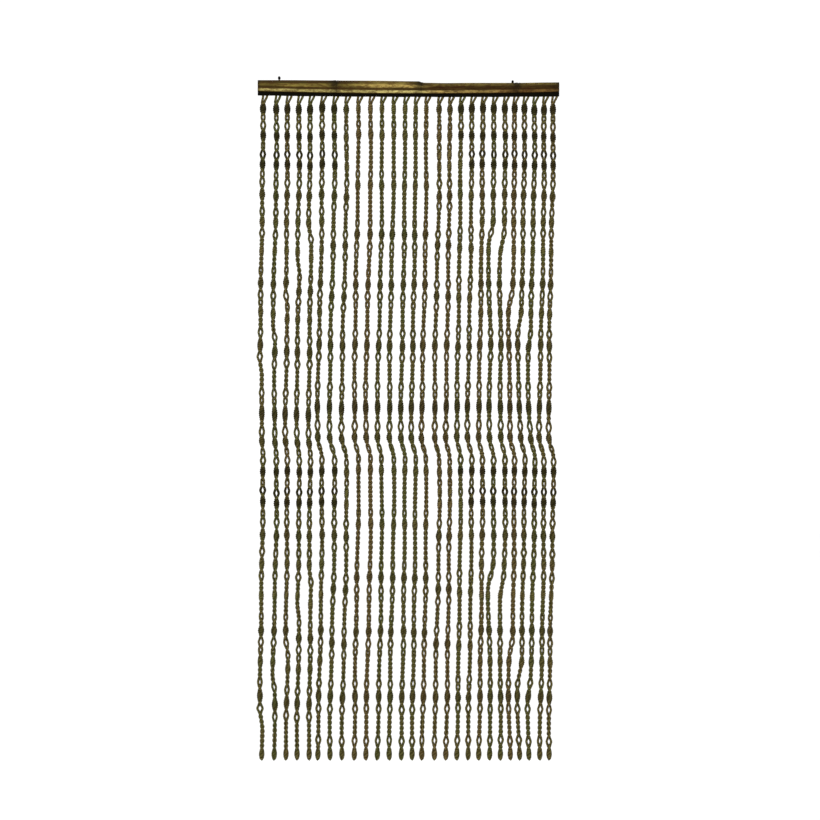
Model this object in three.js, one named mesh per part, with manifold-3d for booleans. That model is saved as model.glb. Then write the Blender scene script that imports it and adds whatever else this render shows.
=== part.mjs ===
// String door curtain: a split bamboo header rail, a dark heading strip along its underside with
// twenty-seven knotted strands, and two screw eyes in the rail's top edge.
// Millimetres. X runs along the rail, +Y to the wall behind it, +Z up.
// The origin is the middle of the rail's flat back.
import * as THREE from 'three';
import { mergeVertices } from 'three/addons/utils/BufferGeometryUtils.js';
import Module from 'manifold-3d';

const wasm = await Module();
wasm.setup();

// Clearance between neighbouring pieces.
const CLEARANCE = 0.4;

// Header rail: half a bamboo cane, planed flat on its back and its underside. The underside is
// bowed, lowest a little to the right of the middle.
const RAIL_LENGTH = 900;
const RAIL_UNDERSIDE = -17.1;
const RAIL_BOW = { depth: 6.4, middle: 41, reach: 470 };
const BEAD_HEIGHT = 10.2;
const GROOVE_WIDTH = 6;
const GROOVE_DEPTH = 2.4;
// Sections from the left end to the right end: height of the crown over the back's middle and
// depth of the cane in front of its back. Each node of the cane is a short raised ring.
const RAIL_SECTIONS = [
  { along: 0, crown: 17.8, depth: 22.0 },
  { along: 110, crown: 17.7, depth: 22.3 },
  { along: 219, crown: 16.6, depth: 22.6 },
  { along: 226, crown: 17.2, depth: 24.0 },
  { along: 233, crown: 17.2, depth: 24.0 },
  { along: 240, crown: 16.6, depth: 22.8 },
  { along: 357, crown: 15.9, depth: 22.7 },
  { along: 474, crown: 14.2, depth: 22.6 },
  { along: 481, crown: 14.6, depth: 24.0 },
  { along: 488, crown: 12.4, depth: 23.8 },
  { along: 495, crown: 10.0, depth: 22.2 },
  { along: 560, crown: 9.0, depth: 22.0 },
  { along: 629, crown: 9.6, depth: 21.8 },
  { along: 763, crown: 9.7, depth: 21.4 },
  { along: 770, crown: 10.1, depth: 22.8 },
  { along: 777, crown: 10.1, depth: 22.8 },
  { along: 784, crown: 9.6, depth: 21.2 },
  { along: 848, crown: 10.7, depth: 20.9 },
  { along: 900, crown: 11.2, depth: 20.6 },
];

// Heading strip: its top follows the rail's underside, its own underside is bowed more slowly.
const STRIP_FRONT = -18;
const STRIP_BACK = -6;
const STRIP_TOP = RAIL_UNDERSIDE - CLEARANCE;
const STRIP_UNDERSIDE = -28.35;
const STRIP_BOW = { depth: 4.65, middle: 120, reach: 575 };
const STRANDS_PER_LENGTH = 3;

// Strands, from left to right: gaps between neighbours at the rail.
const FIRST_STRAND = -434;
const STRAND_SPACING = [
  { gaps: 1, pitch: 39 },
  { gaps: 3, pitch: 33.8 },
  { gaps: 5, pitch: 36 },
  { gaps: 3, pitch: 34.6 },
  { gaps: 2, pitch: 31.6 },
  { gaps: 1, pitch: 38 },
  { gaps: 6, pitch: 32.7 },
  { gaps: 4, pitch: 29.3 },
  { gaps: 1, pitch: 26.4 },
];
const STRAND_Y = (STRIP_FRONT + STRIP_BACK) / 2;
const STRAND_LENGTH = 1985;
const END_KNOT_HEIGHT = 23;

// Each strand is a doubled cord. Its two legs leave the strip apart and meet in the first knot.
const LEG_SHIFT = 6;
const LEGS = { width: 9, depth: 3, gap: 3 };

// Half widths and half depths of the strand: twisted, tied in a knot, or open in an eye.
const TWIST = { width: 5.6, depth: 5, gap: 0 };
const KNOT = { width: 9.4, depth: 8, gap: 0 };
const EYE = { width: 9.5, depth: 3.3, gap: 2.4 };

// Rhythm of the outer strands and of the middle strands over the upper half of their length. The
// lower half repeats it, a little stretched.
const LOWER_HALF = 993;
const LOWER_STRETCH = 1.074;
const OUTER_RHYTHM = [
  { drop: 26, form: KNOT },
  { drop: 74, form: TWIST },
  { drop: 92, form: EYE },
  { drop: 109, form: KNOT },
  { drop: 160, form: TWIST },
  { drop: 177, form: EYE },
  { drop: 196, form: KNOT },
  { drop: 246, form: TWIST },
  { drop: 262, form: EYE },
  { drop: 284, form: KNOT },
  { drop: 336, form: TWIST },
  { drop: 378, form: KNOT },
  { drop: 470, form: TWIST },
  { drop: 560, form: KNOT },
  { drop: 640, form: TWIST },
  { drop: 745, form: KNOT },
  { drop: 850, form: TWIST },
  { drop: 871, form: EYE },
  { drop: 916, form: KNOT },
  { drop: 966, form: TWIST },
  { drop: 987, form: EYE },
];
const MIDDLE_RHYTHM = [
  { drop: 26, form: KNOT },
  { drop: 70, form: TWIST },
  { drop: 118, form: KNOT },
  { drop: 166, form: TWIST },
  { drop: 246, form: TWIST },
  { drop: 265, form: EYE },
  { drop: 288, form: KNOT },
  { drop: 330, form: TWIST },
  { drop: 396, form: TWIST },
  { drop: 414, form: EYE },
  { drop: 436, form: KNOT },
  { drop: 480, form: TWIST },
  { drop: 545, form: TWIST },
  { drop: 563, form: EYE },
  { drop: 587, form: KNOT },
  { drop: 632, form: TWIST },
  { drop: 693, form: TWIST },
  { drop: 711, form: EYE },
  { drop: 733, form: KNOT },
  { drop: 790, form: TWIST },
  { drop: 880, form: TWIST },
  { drop: 928, form: KNOT },
  { drop: 966, form: TWIST },
  { drop: 987, form: EYE },
];
const FIRST_MIDDLE = 6;
const LAST_MIDDLE = 16;

// Sideways lie of the strands in each half: a slow drift to the left, a step back to the right of
// the strands at the left edge, and at the packing crease half way down a return to the root.
const DRIFT = 13;
const DRIFT_START = 150;
const CREASE_START = 25;
const CREASE_HEIGHT = 60;
const GATHER = 7.5;
const GATHER_HEIGHT = 60;
const GATHERED_STRANDS = 5;
const GATHER_LOWEST = 780;
const GATHER_RISE = 100;
// Strands of the right side that lean to the left below a certain drop and come back slowly.
const LEANING_STRANDS = [
  { strand: 20, drop: 370, step: 14 },
  { strand: 21, drop: 400, step: 10 },
  { strand: 22, drop: 570, step: 11 },
  { strand: 23, drop: 640, step: 11 },
  { strand: 24, drop: 690, step: 8 },
];
const LEAN_HEIGHT = 80;
const LEAN_RETURN = 320;

// Screw eyes.
const EYE_RING_RADIUS = 3.4;
const EYE_WIRE_RADIUS = 2.2;
const EYE_SHANK_DEPTH = 12;
const EYE_Y = -8;
const SCREW_EYES = [
  { name: 'screw_eye_left', x: -386, rail_top: 17.7, stand: 11.8, turn: 55 },
  { name: 'screw_eye_right', x: 311, rail_top: 9.7, stand: 8, turn: -66 },
];

const bambooMaterial = new THREE.MeshStandardMaterial({
  name: 'bamboo', color: 0x6f5a35, roughness: 0.55, metalness: 0, flatShading: true,
});
const cordMaterial = new THREE.MeshStandardMaterial({
  name: 'cord', color: 0x4b4426, roughness: 0.9, metalness: 0, flatShading: true,
});
const steelMaterial = new THREE.MeshStandardMaterial({
  name: 'black_steel', color: 0x16150f, roughness: 0.5, metalness: 0.6, flatShading: true,
});

function toManifold(geometry) {
  const bare = new THREE.BufferGeometry();
  bare.setAttribute('position', geometry.getAttribute('position'));
  bare.setIndex(geometry.getIndex());
  const welded = mergeVertices(bare, 1e-4);
  return new wasm.Manifold(new wasm.Mesh({
    numProp: 3,
    vertProperties: Float32Array.from(welded.getAttribute('position').array),
    triVerts: Uint32Array.from(welded.getIndex().array),
  }));
}

function toMesh(name, body, material) {
  const { vertProperties, triVerts } = body.getMesh();
  const geometry = new THREE.BufferGeometry();
  geometry.setAttribute('position', new THREE.BufferAttribute(vertProperties, 3));
  geometry.setIndex(new THREE.BufferAttribute(triVerts, 1));
  geometry.computeVertexNormals();
  const mesh = new THREE.Mesh(geometry, material);
  mesh.name = name;
  return mesh;
}

function fromTriangles(points, triangles) {
  const geometry = new THREE.BufferGeometry();
  geometry.setAttribute('position', new THREE.Float32BufferAttribute(points.flat(), 3));
  geometry.setIndex(triangles.flat());
  return geometry;
}

// Two triangles for each side between two loops of point numbers, the upper or right one first.
function sideTriangles(first, second) {
  return first.flatMap((point, side) => {
    const next = (side + 1) % first.length;
    return [
      [point, second[side], second[next]],
      [point, second[next], first[next]],
    ];
  });
}

function smoothStep(value) {
  return THREE.MathUtils.smoothstep(value, 0, 1);
}

// How far a bowed edge hangs below the level of its ends.
function bow({ depth, middle, reach }, x) {
  return depth * (1 - ((x - middle) / reach) ** 2);
}

// Outline of the cane's section, as y and z, from the back's top edge over the front to its foot.
function railSection({ along, crown, depth }) {
  const foot = RAIL_UNDERSIDE - bow(RAIL_BOW, along - RAIL_LENGTH / 2);
  const bead = foot + BEAD_HEIGHT;
  return [
    [0, crown - 3.5],
    [-5, crown - 0.6],
    [-10, crown],
    [-0.72 * depth, crown - 2.2],
    [-0.9 * depth, crown - 6.5],
    [-depth, (crown + foot) / 2 + 3],
    [-depth, bead + GROOVE_WIDTH],
    [-depth + GROOVE_DEPTH, bead + GROOVE_WIDTH / 2],
    [-depth, bead],
    [-depth - 0.4, foot + 5.5],
    [-depth + 1.6, foot + 2],
    [-depth + 5, foot],
    [0, foot],
  ];
}

function railBody() {
  const points = [];
  const loops = RAIL_SECTIONS.map((section) => railSection(section).map(([y, z]) => {
    points.push([section.along - RAIL_LENGTH / 2, y, z]);
    return points.length - 1;
  }));
  const outline = railSection(RAIL_SECTIONS[0]).map(([y, z]) => new THREE.Vector2(y, z));
  const endFaces = THREE.ShapeUtils.triangulateShape(outline, []);
  const leftEnd = loops[0];
  const rightEnd = loops[loops.length - 1];
  const triangles = [
    ...endFaces.map(([a, b, c]) => [leftEnd[c], leftEnd[b], leftEnd[a]]),
    ...endFaces.map(([a, b, c]) => [rightEnd[a], rightEnd[b], rightEnd[c]]),
  ];
  for (let k = 1; k < loops.length; k += 1) {
    triangles.push(...sideTriangles(loops[k], loops[k - 1]));
  }
  return toManifold(fromTriangles(points, triangles));
}

function strandRoots() {
  const roots = [FIRST_STRAND];
  for (const { gaps, pitch } of STRAND_SPACING) {
    for (let k = 0; k < gaps; k += 1) {
      roots.push(roots[roots.length - 1] + pitch);
    }
  }
  return roots;
}

function sidewaysLie(drop, number) {
  const gather = number < GATHERED_STRANDS ? GATHER : 0;
  const gatherTop = GATHER_LOWEST - GATHER_RISE * number;
  const lower = drop > LOWER_HALF;
  const inHalf = lower ? (drop - LOWER_HALF) / LOWER_STRETCH : drop;
  const drift = -DRIFT * smoothStep((inHalf - DRIFT_START) / (LOWER_HALF - DRIFT_START));
  const step = gather * smoothStep((inHalf - gatherTop) / GATHER_HEIGHT);
  const leaning = LEANING_STRANDS.find(({ strand }) => strand === number);
  const lean = leaning ? leaning.step * (
    smoothStep((inHalf - leaning.drop) / LEAN_HEIGHT)
    - smoothStep((inHalf - leaning.drop - LEAN_HEIGHT) / LEAN_RETURN)
  ) : 0;
  const kept = lower ? 1 - smoothStep((inHalf - CREASE_START) / CREASE_HEIGHT) : 0;
  return drift + step - lean + kept * (gather - DRIFT);
}

// Sections of one strand from its two legs at the strip to its end knot.
function strandSections(rootX, number) {
  const rhythm = number >= FIRST_MIDDLE && number <= LAST_MIDDLE ? MIDDLE_RHYTHM : OUTER_RHYTHM;
  const lower = rhythm.map(({ drop, form }) => ({
    drop: LOWER_HALF + LOWER_STRETCH * drop, form,
  }));
  const rows = [...rhythm, ...lower].filter(({ drop }) => drop < STRAND_LENGTH - 2 * END_KNOT_HEIGHT);
  rows.push({ drop: STRAND_LENGTH - END_KNOT_HEIGHT, form: KNOT });
  rows.push({ drop: STRAND_LENGTH, form: TWIST });
  const hanging = rows.map(({ drop, form }) => ({ drop, ...form, x: sidewaysLie(drop, number) }));
  return [{ drop: bow(STRIP_BOW, rootX + LEG_SHIFT), ...LEGS, x: LEG_SHIFT }, ...hanging];
}

// A strand is four-sided where its legs lie together, and two three-sided legs where they part.
// Returns the two legs' first loops, which are open at the strip's underside.
function addStrand(points, triangles, rootX, sections) {
  const addPoint = (x, y, z) => points.push([rootX + x, STRAND_Y + y, z]) - 1;
  const rings = sections.map(({ drop, width, depth, gap, x }) => {
    const z = STRIP_UNDERSIDE - drop;
    const left = addPoint(x - width, 0, z);
    const right = addPoint(x + width, 0, z);
    const front = addPoint(x - gap, -depth, z);
    const back = addPoint(x - gap, depth, z);
    const frontRight = gap > 0 ? addPoint(x + gap, -depth, z) : front;
    const backRight = gap > 0 ? addPoint(x + gap, depth, z) : back;
    return {
      open: gap > 0,
      whole: [left, front, right, back],
      legs: [[left, front, back], [right, backRight, frontRight]],
    };
  });
  for (let k = 1; k < rings.length; k += 1) {
    const upper = rings[k - 1];
    const lower = rings[k];
    if (upper.open || lower.open) {
      triangles.push(...sideTriangles(upper.legs[0], lower.legs[0]));
      triangles.push(...sideTriangles(upper.legs[1], lower.legs[1]));
    } else {
      triangles.push(...sideTriangles(upper.whole, lower.whole));
    }
  }
  const [left, front, right, back] = rings[rings.length - 1].whole;
  triangles.push([left, right, front], [left, back, right]);
  return rings[0].legs;
}

// The strip is laid out in short lengths of a few strands. Its underside is left open around each
// leg, so that strip and strands are one solid.
function strandRowBody() {
  const points = [];
  const triangles = [];
  const roots = strandRoots();
  const legs = roots.map((x, number) => addStrand(points, triangles, x, strandSections(x, number)));
  const stations = [-RAIL_LENGTH / 2];
  for (let k = STRANDS_PER_LENGTH; k < roots.length; k += STRANDS_PER_LENGTH) {
    stations.push((roots[k - 1] + roots[k]) / 2 + LEG_SHIFT);
  }
  stations.push(RAIL_LENGTH / 2);
  const addEdge = (y, height, line) => stations.map(
    (x) => points.push([x, y, height - bow(line, x)]) - 1,
  );
  const topFront = addEdge(STRIP_FRONT, STRIP_TOP, RAIL_BOW);
  const topBack = addEdge(STRIP_BACK, STRIP_TOP, RAIL_BOW);
  const underFront = addEdge(STRIP_FRONT, STRIP_UNDERSIDE, STRIP_BOW);
  const underBack = addEdge(STRIP_BACK, STRIP_UNDERSIDE, STRIP_BOW);
  const loops = stations.map((_, k) => [underBack[k], topBack[k], topFront[k], underFront[k]]);
  const flat = (loop) => loop.map((point) => new THREE.Vector2(points[point][0], points[point][1]));
  for (let k = 1; k < loops.length; k += 1) {
    const under = [underFront[k - 1], underFront[k], underBack[k], underBack[k - 1]];
    const holes = legs.slice((k - 1) * STRANDS_PER_LENGTH, k * STRANDS_PER_LENGTH).flat();
    const underPoints = [...under, ...holes.flat()];
    for (const [a, b, c] of THREE.ShapeUtils.triangulateShape(flat(under), holes.map(flat))) {
      triangles.push([underPoints[c], underPoints[b], underPoints[a]]);
    }
    const backTopAndFront = sideTriangles(loops[k], loops[k - 1]).slice(0, 6);
    triangles.push(...backTopAndFront);
  }
  const left = loops[0];
  const right = loops[loops.length - 1];
  triangles.push([left[2], left[1], left[0]], [left[3], left[2], left[0]]);
  triangles.push([right[0], right[1], right[2]], [right[0], right[2], right[3]]);
  return toManifold(fromTriangles(points, triangles));
}

// Screw eye of a given wire radius: a ring on an upright shank.
function screwEyeBody({ x, rail_top: railTop, stand, turn }, wireRadius) {
  const ringHeight = railTop + stand - EYE_RING_RADIUS - EYE_WIRE_RADIUS;
  const ring = new THREE.TorusGeometry(EYE_RING_RADIUS, wireRadius, 8, 18);
  ring.rotateX(Math.PI / 2);
  ring.rotateZ(THREE.MathUtils.degToRad(turn));
  ring.translate(x, EYE_Y, ringHeight);
  const shankTop = ringHeight - EYE_RING_RADIUS;
  const shankBottom = railTop - EYE_SHANK_DEPTH - (wireRadius - EYE_WIRE_RADIUS);
  const shank = new THREE.CylinderGeometry(wireRadius, wireRadius, shankTop - shankBottom, 8);
  shank.rotateX(Math.PI / 2);
  shank.translate(x, EYE_Y, (shankTop + shankBottom) / 2);
  return toManifold(ring).add(toManifold(shank));
}

// The shanks are driven into the rail, the right one until its ring beds into the cane.
function drilledRail() {
  return SCREW_EYES.reduce(
    (body, eye) => body.subtract(screwEyeBody(eye, EYE_WIRE_RADIUS + CLEARANCE)),
    railBody(),
  );
}

const curtain = new THREE.Group();
curtain.add(toMesh('header_rail', drilledRail(), bambooMaterial));
curtain.add(toMesh('strand_row', strandRowBody(), cordMaterial));
for (const eye of SCREW_EYES) {
  curtain.add(toMesh(eye.name, screwEyeBody(eye, EYE_WIRE_RADIUS), steelMaterial));
}

export default curtain;
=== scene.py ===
"""String door curtain of knotted cord strands under a split bamboo rail.

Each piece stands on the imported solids. Measures are in millimetres, but for those of the
materials, the lights and the camera, which are in metres.
"""

import math

import bpy
import numpy as np
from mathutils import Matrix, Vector


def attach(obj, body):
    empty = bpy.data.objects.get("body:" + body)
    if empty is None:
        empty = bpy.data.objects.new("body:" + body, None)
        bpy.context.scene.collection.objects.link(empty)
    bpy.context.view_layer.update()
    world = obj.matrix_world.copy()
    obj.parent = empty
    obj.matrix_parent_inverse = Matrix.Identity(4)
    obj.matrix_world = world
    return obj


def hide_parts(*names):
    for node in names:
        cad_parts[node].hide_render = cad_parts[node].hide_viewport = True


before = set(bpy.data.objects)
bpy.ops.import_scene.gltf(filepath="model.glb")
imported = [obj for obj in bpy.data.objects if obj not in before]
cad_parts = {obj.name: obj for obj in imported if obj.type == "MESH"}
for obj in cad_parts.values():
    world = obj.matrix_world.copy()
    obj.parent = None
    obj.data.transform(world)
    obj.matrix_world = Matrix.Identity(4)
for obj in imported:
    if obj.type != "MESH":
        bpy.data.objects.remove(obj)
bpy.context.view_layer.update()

MM = 0.001

# Rail: sections from the left end to the right end, and the nodes of the cane.
RAIL_LENGTH = 900.0
RAIL_UNDERSIDE = -17.1
RAIL_BOW = {"depth": 6.4, "middle": 41.0, "reach": 470.0}
RAIL_SECTIONS = [
    {"along": 0, "crown": 17.8, "depth": 22.0},
    {"along": 110, "crown": 17.7, "depth": 22.3},
    {"along": 230, "crown": 16.6, "depth": 22.6},
    {"along": 357, "crown": 15.9, "depth": 22.7},
    {"along": 478, "crown": 14.2, "depth": 22.6},
    {"along": 495, "crown": 10.0, "depth": 22.2},
    {"along": 560, "crown": 9.0, "depth": 22.0},
    {"along": 629, "crown": 9.6, "depth": 21.8},
    {"along": 784, "crown": 9.6, "depth": 21.2},
    {"along": 848, "crown": 10.7, "depth": 20.9},
    {"along": 900, "crown": 11.2, "depth": 20.6},
]
CANE_NODES = [230, 483, 773]
BEAD_HEIGHT = 10.2
GROOVE_WIDTH = 6.0
RAIL_STATIONS = 91
NODE_STATIONS = {"first": -13, "last": 16, "count": 30}
SHARPEST_SMOOTHED = math.radians(50)
# Share of a node's swelling that lifts the crown, and the uneven waves of the cane's front, which
# turn with the height.
CROWN_SWELLING = 0.8
RAIL_WANDER = [
    {"reach": 0.25, "length": 47, "height": 2.3},
    {"reach": 0.15, "length": 19, "height": 1.0},
]
# Relief and stain of a node of the cane, each a bell-shaped ring along the rail.
NODE_RING = {"height": 1.1, "at": 0.0, "width": 4.2}
SHEATH_RING = {"height": 0.5, "at": 9.0, "width": 2.6}
SHEATH_GROOVE = {"height": 0.7, "at": 5.6, "width": 1.3}
GROOVE_STAIN = {"height": 0.35, "at": 5.6, "width": 1.6}
NODE_STAIN = {"height": 0.95, "at": 0.0, "width": 17.0}
# Stain of the cut ends, and the longer and weaker one at the right end.
END_STAIN_REACH = 5
RIGHT_STAIN_REACH = 42
RIGHT_STAIN_SHARE = 0.8

# Heading strip, which laps a little into the rail's underside.
STRIP_LAP = 0.2
STRIP_TOP = RAIL_UNDERSIDE + STRIP_LAP
STRIP_UNDERSIDE = -28.35
STRIP_BOW = {"depth": 4.65, "middle": 120.0, "reach": 575.0}
STRIP_FRONT = -18.0
STRIP_BACK = -6.0
STRIP_ROUNDING = 1.6
STRIP_CORNER_STEPS = 4
STRIP_STATIONS = 121
STRIP_WAVES = [{"reach": 0.25, "length": 23}, {"reach": 0.2, "length": 9.1}]
STRIP_WAVE_STARTS = (0, 1)

# Strands: gaps between neighbours at the rail, from left to right.
FIRST_STRAND = -434.0
STRAND_SPACING = [
    {"gaps": 1, "pitch": 39},
    {"gaps": 3, "pitch": 33.8},
    {"gaps": 5, "pitch": 36},
    {"gaps": 3, "pitch": 34.6},
    {"gaps": 2, "pitch": 31.6},
    {"gaps": 1, "pitch": 38},
    {"gaps": 6, "pitch": 32.7},
    {"gaps": 4, "pitch": 29.3},
    {"gaps": 1, "pitch": 26.4},
]
STRAND_Y = (STRIP_FRONT + STRIP_BACK) / 2
STRAND_LENGTH = 1985.0
LOWER_HALF = 993.0
LOWER_STRETCH = 1.074
END_KNOT_HEIGHT = 19.0
CORD_RADIUS = 3.8
CORD_APART = 3.6
CORD_SIDES = 8
CORD_UNEVENNESS = {"share": 0.05, "length": 13}
FIRST_SEED = 410
# Legs, in which the two cords leave the strip beside the root, parted, and meet at the legs' end.
LEG_SHIFT = 6.0
LEG_HEIGHT = 24.0
LEG_END = 21.0
LEG_IN_STRIP = 3.0

# Twist of the two cords. A shorter stretch than the shortest turn stays unturned, one shorter than
# the shortest twist is left out, and neighbouring ties keep the crossing's length between them.
HALF_TURN_LENGTH = 14.0
HALF_TURN_SAMPLES = 4
TWIST_SAMPLE_LENGTH = 3.6
FEWEST_TWIST_SAMPLES = 3
SHORTEST_TURN = 4
SHORTEST_TWIST = 0.5
CROSSING_LENGTH = 5.0

# Painted shade where the cords crowd: how dark they are in a twist, in the legs at the root and at
# the ends of an eye, and the share of a knot's dark at its ends; and the girth of the cords in the
# legs.
TWIST_DARK = 0.12
LEG_DARK = 0.15
EYE_END_DARK = 0.6
KNOT_END_SHARE = 0.5
LEG_GIRTH = 0.97

# Powers of a half wave that give an eye its opening, a knot its swelling and a knot its firmness,
# which shapes its painted shade and the pull on the cord through it, and the share by which the
# cord through a knot is pulled to the middle.
EYE_POWER = 1.7
KNOT_POWER = 0.85
FIRM_POWER = 0.5
THROUGH_PULL = 0.95

# Samples along the cords in each leg, eye and wrap, and in the cord that runs through a knot.
LEG_SAMPLES = 8
EYE_SAMPLES = 10
WRAP_SAMPLES = 9
THROUGH_SAMPLES = 6

# Chance of making, as standard deviations: a strand's ties together, each tie alone, the share of
# an eye's parting and the tone of a strand.
STRAND_SHIFT = 1.6
TIE_SHIFT = 1.2
PARTING_SPREAD = 0.07
TONE_SPREAD = 0.25
# Tone of the strand in the middle, from olive to brown, and what the outermost strands lose of it.
MIDDLE_TONE = 0.3
EDGE_TONE_LOSS = 0.1

# Sideways lie of the strands.
DRIFT = 13.0
DRIFT_START = 150.0
CREASE_START = 25.0
CREASE_HEIGHT = 60.0
GATHER = 7.5
GATHER_HEIGHT = 60.0
GATHERED_STRANDS = 5
GATHER_LOWEST = 780.0
GATHER_RISE = 100.0
GATHER_SLACK = 20.0
# Strands of the right side that lean to the left below a certain drop and come back slowly.
LEANING_STRANDS = [
    {"strand": 20, "drop": 370, "step": 14},
    {"strand": 21, "drop": 400, "step": 10},
    {"strand": 22, "drop": 570, "step": 11},
    {"strand": 23, "drop": 640, "step": 11},
    {"strand": 24, "drop": 690, "step": 8},
]
LEAN_HEIGHT = 80.0
LEAN_RETURN = 320.0
# Slight sway of each strand, which grows over its first stretch below the strip.
SWAY_START = 200
SWAY_SIDEWAYS = [{"reach": 1.3, "length": 170}, {"reach": 0.9, "length": 47}]
SWAY_OUTWARD = [{"reach": 1.2, "length": 230}, {"reach": 0.4, "length": 75}]

# Knots: half length, radius of the wraps at the middle, number of wraps and how dark they are,
# as painted shade among the wraps.
KNOTS = {
    "great": {"half": 14.0, "wrap": 6.7, "turns": 5, "dark": 1.0},
    "tight": {"half": 11.5, "wrap": 5.9, "turns": 4, "dark": 1.0},
    "long": {"half": 17.5, "wrap": 5.8, "turns": 6, "dark": 0.8},
    "broad": {"half": 13.5, "wrap": 6.2, "turns": 5, "dark": 0.6},
    "large": {"half": 10.5, "wrap": 6.2, "turns": 4, "dark": 0.6},
    "middling": {"half": 10.5, "wrap": 5.4, "turns": 4, "dark": 0.35},
    "slight": {"half": 9.0, "wrap": 4.5, "turns": 3, "dark": 0.12},
}
# Eyes: half length, half the distance between the two cords at the middle, the girth to which the
# cords are drawn there and how dark they are there, as painted shade.
EYES = {
    "widest": {"half": 13.0, "parting": 6.5, "girth": 0.94, "dark": 0.05},
    "large": {"half": 10.5, "parting": 6.0, "girth": 0.94, "dark": 0.05},
    "rimmed": {"half": 10.5, "parting": 6.3, "girth": 1.0, "dark": 0.95},
    "middling": {"half": 9.5, "parting": 5.6, "girth": 0.95, "dark": 0.05},
    "small": {"half": 7.0, "parting": 4.38, "girth": 0.92, "dark": 0.05},
}

# Rhythm of the outer, the flanking and the centre strands, and of two strands right of the centre,
# over half of their length.
OUTER_RHYTHM = [
    {"drop": 41, "tie": "knot", "size": "great"},
    {"drop": 68, "tie": "eye", "size": "small"},
    {"drop": 92, "tie": "eye", "size": "large"},
    {"drop": 121, "tie": "knot", "size": "tight"},
    {"drop": 153, "tie": "eye", "size": "small"},
    {"drop": 177, "tie": "eye", "size": "rimmed"},
    {"drop": 207, "tie": "knot", "size": "tight"},
    {"drop": 238, "tie": "eye", "size": "small"},
    {"drop": 262, "tie": "eye", "size": "large"},
    {"drop": 299, "tie": "knot", "size": "large"},
    {"drop": 348, "tie": "eye", "size": "middling"},
    {"drop": 378, "tie": "knot", "size": "middling"},
    {"drop": 413, "tie": "eye", "size": "middling"},
    {"drop": 465, "tie": "knot", "size": "slight"},
    {"drop": 525, "tie": "eye", "size": "small"},
    {"drop": 563, "tie": "knot", "size": "large"},
    {"drop": 596, "tie": "eye", "size": "large"},
    {"drop": 619, "tie": "eye", "size": "small"},
    {"drop": 650, "tie": "knot", "size": "middling"},
    {"drop": 710, "tie": "eye", "size": "middling"},
    {"drop": 746, "tie": "knot", "size": "broad"},
    {"drop": 781, "tie": "eye", "size": "large"},
    {"drop": 869, "tie": "eye", "size": "large"},
    {"drop": 893, "tie": "eye", "size": "small"},
    {"drop": 931, "tie": "knot", "size": "long"},
    {"drop": 987, "tie": "eye", "size": "widest"},
]
FLANK_RHYTHM = [
    {"drop": 42, "tie": "knot", "size": "large"},
    {"drop": 94, "tie": "eye", "size": "small"},
    {"drop": 120, "tie": "knot", "size": "middling"},
    {"drop": 153, "tie": "eye", "size": "small"},
    {"drop": 178, "tie": "knot", "size": "slight"},
    {"drop": 211, "tie": "knot", "size": "slight"},
    {"drop": 263, "tie": "eye", "size": "middling"},
    {"drop": 300, "tie": "knot", "size": "large"},
    {"drop": 331, "tie": "eye", "size": "middling"},
    {"drop": 414, "tie": "eye", "size": "middling"},
    {"drop": 447, "tie": "knot", "size": "large"},
    {"drop": 480, "tie": "eye", "size": "middling"},
    {"drop": 563, "tie": "eye", "size": "middling"},
    {"drop": 599, "tie": "knot", "size": "large"},
    {"drop": 630, "tie": "eye", "size": "middling"},
    {"drop": 711, "tie": "eye", "size": "middling"},
    {"drop": 746, "tie": "knot", "size": "broad"},
    {"drop": 781, "tie": "eye", "size": "large"},
    {"drop": 869, "tie": "eye", "size": "large"},
    {"drop": 893, "tie": "eye", "size": "small"},
    {"drop": 931, "tie": "knot", "size": "long"},
    {"drop": 987, "tie": "eye", "size": "widest"},
]
CENTRE_RHYTHM = [
    {"drop": 40, "tie": "knot", "size": "slight"},
    {"drop": 86, "tie": "eye", "size": "small"},
    {"drop": 118, "tie": "knot", "size": "middling"},
    {"drop": 235, "tie": "eye", "size": "small"},
    {"drop": 268, "tie": "knot", "size": "middling"},
    {"drop": 381, "tie": "eye", "size": "small"},
    {"drop": 415, "tie": "knot", "size": "large"},
    {"drop": 451, "tie": "eye", "size": "middling"},
    {"drop": 474, "tie": "eye", "size": "small"},
    {"drop": 530, "tie": "eye", "size": "small"},
    {"drop": 565, "tie": "knot", "size": "large"},
    {"drop": 601, "tie": "eye", "size": "large"},
    {"drop": 625, "tie": "eye", "size": "small"},
    {"drop": 711, "tie": "eye", "size": "middling"},
    {"drop": 746, "tie": "knot", "size": "broad"},
    {"drop": 781, "tie": "eye", "size": "large"},
    {"drop": 869, "tie": "eye", "size": "large"},
    {"drop": 893, "tie": "eye", "size": "small"},
    {"drop": 931, "tie": "knot", "size": "long"},
    {"drop": 987, "tie": "eye", "size": "widest"},
]
RIGHT_RHYTHM = [
    {"drop": 178, "tie": "eye", "size": "small"},
    {"drop": 210, "tie": "knot", "size": "slight"},
    {"drop": 263, "tie": "eye", "size": "small"},
    {"drop": 300, "tie": "knot", "size": "middling"},
    {"drop": 405, "tie": "eye", "size": "middling"},
    {"drop": 426, "tie": "eye", "size": "small"},
    {"drop": 457, "tie": "knot", "size": "middling"},
    {"drop": 553, "tie": "eye", "size": "middling"},
    {"drop": 574, "tie": "eye", "size": "small"},
    {"drop": 607, "tie": "knot", "size": "middling"},
    {"drop": 701, "tie": "eye", "size": "middling"},
    {"drop": 722, "tie": "eye", "size": "small"},
    {"drop": 751, "tie": "knot", "size": "large"},
    {"drop": 781, "tie": "eye", "size": "large"},
    {"drop": 869, "tie": "eye", "size": "large"},
    {"drop": 893, "tie": "eye", "size": "small"},
    {"drop": 931, "tie": "knot", "size": "long"},
    {"drop": 987, "tie": "eye", "size": "widest"},
]
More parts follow.
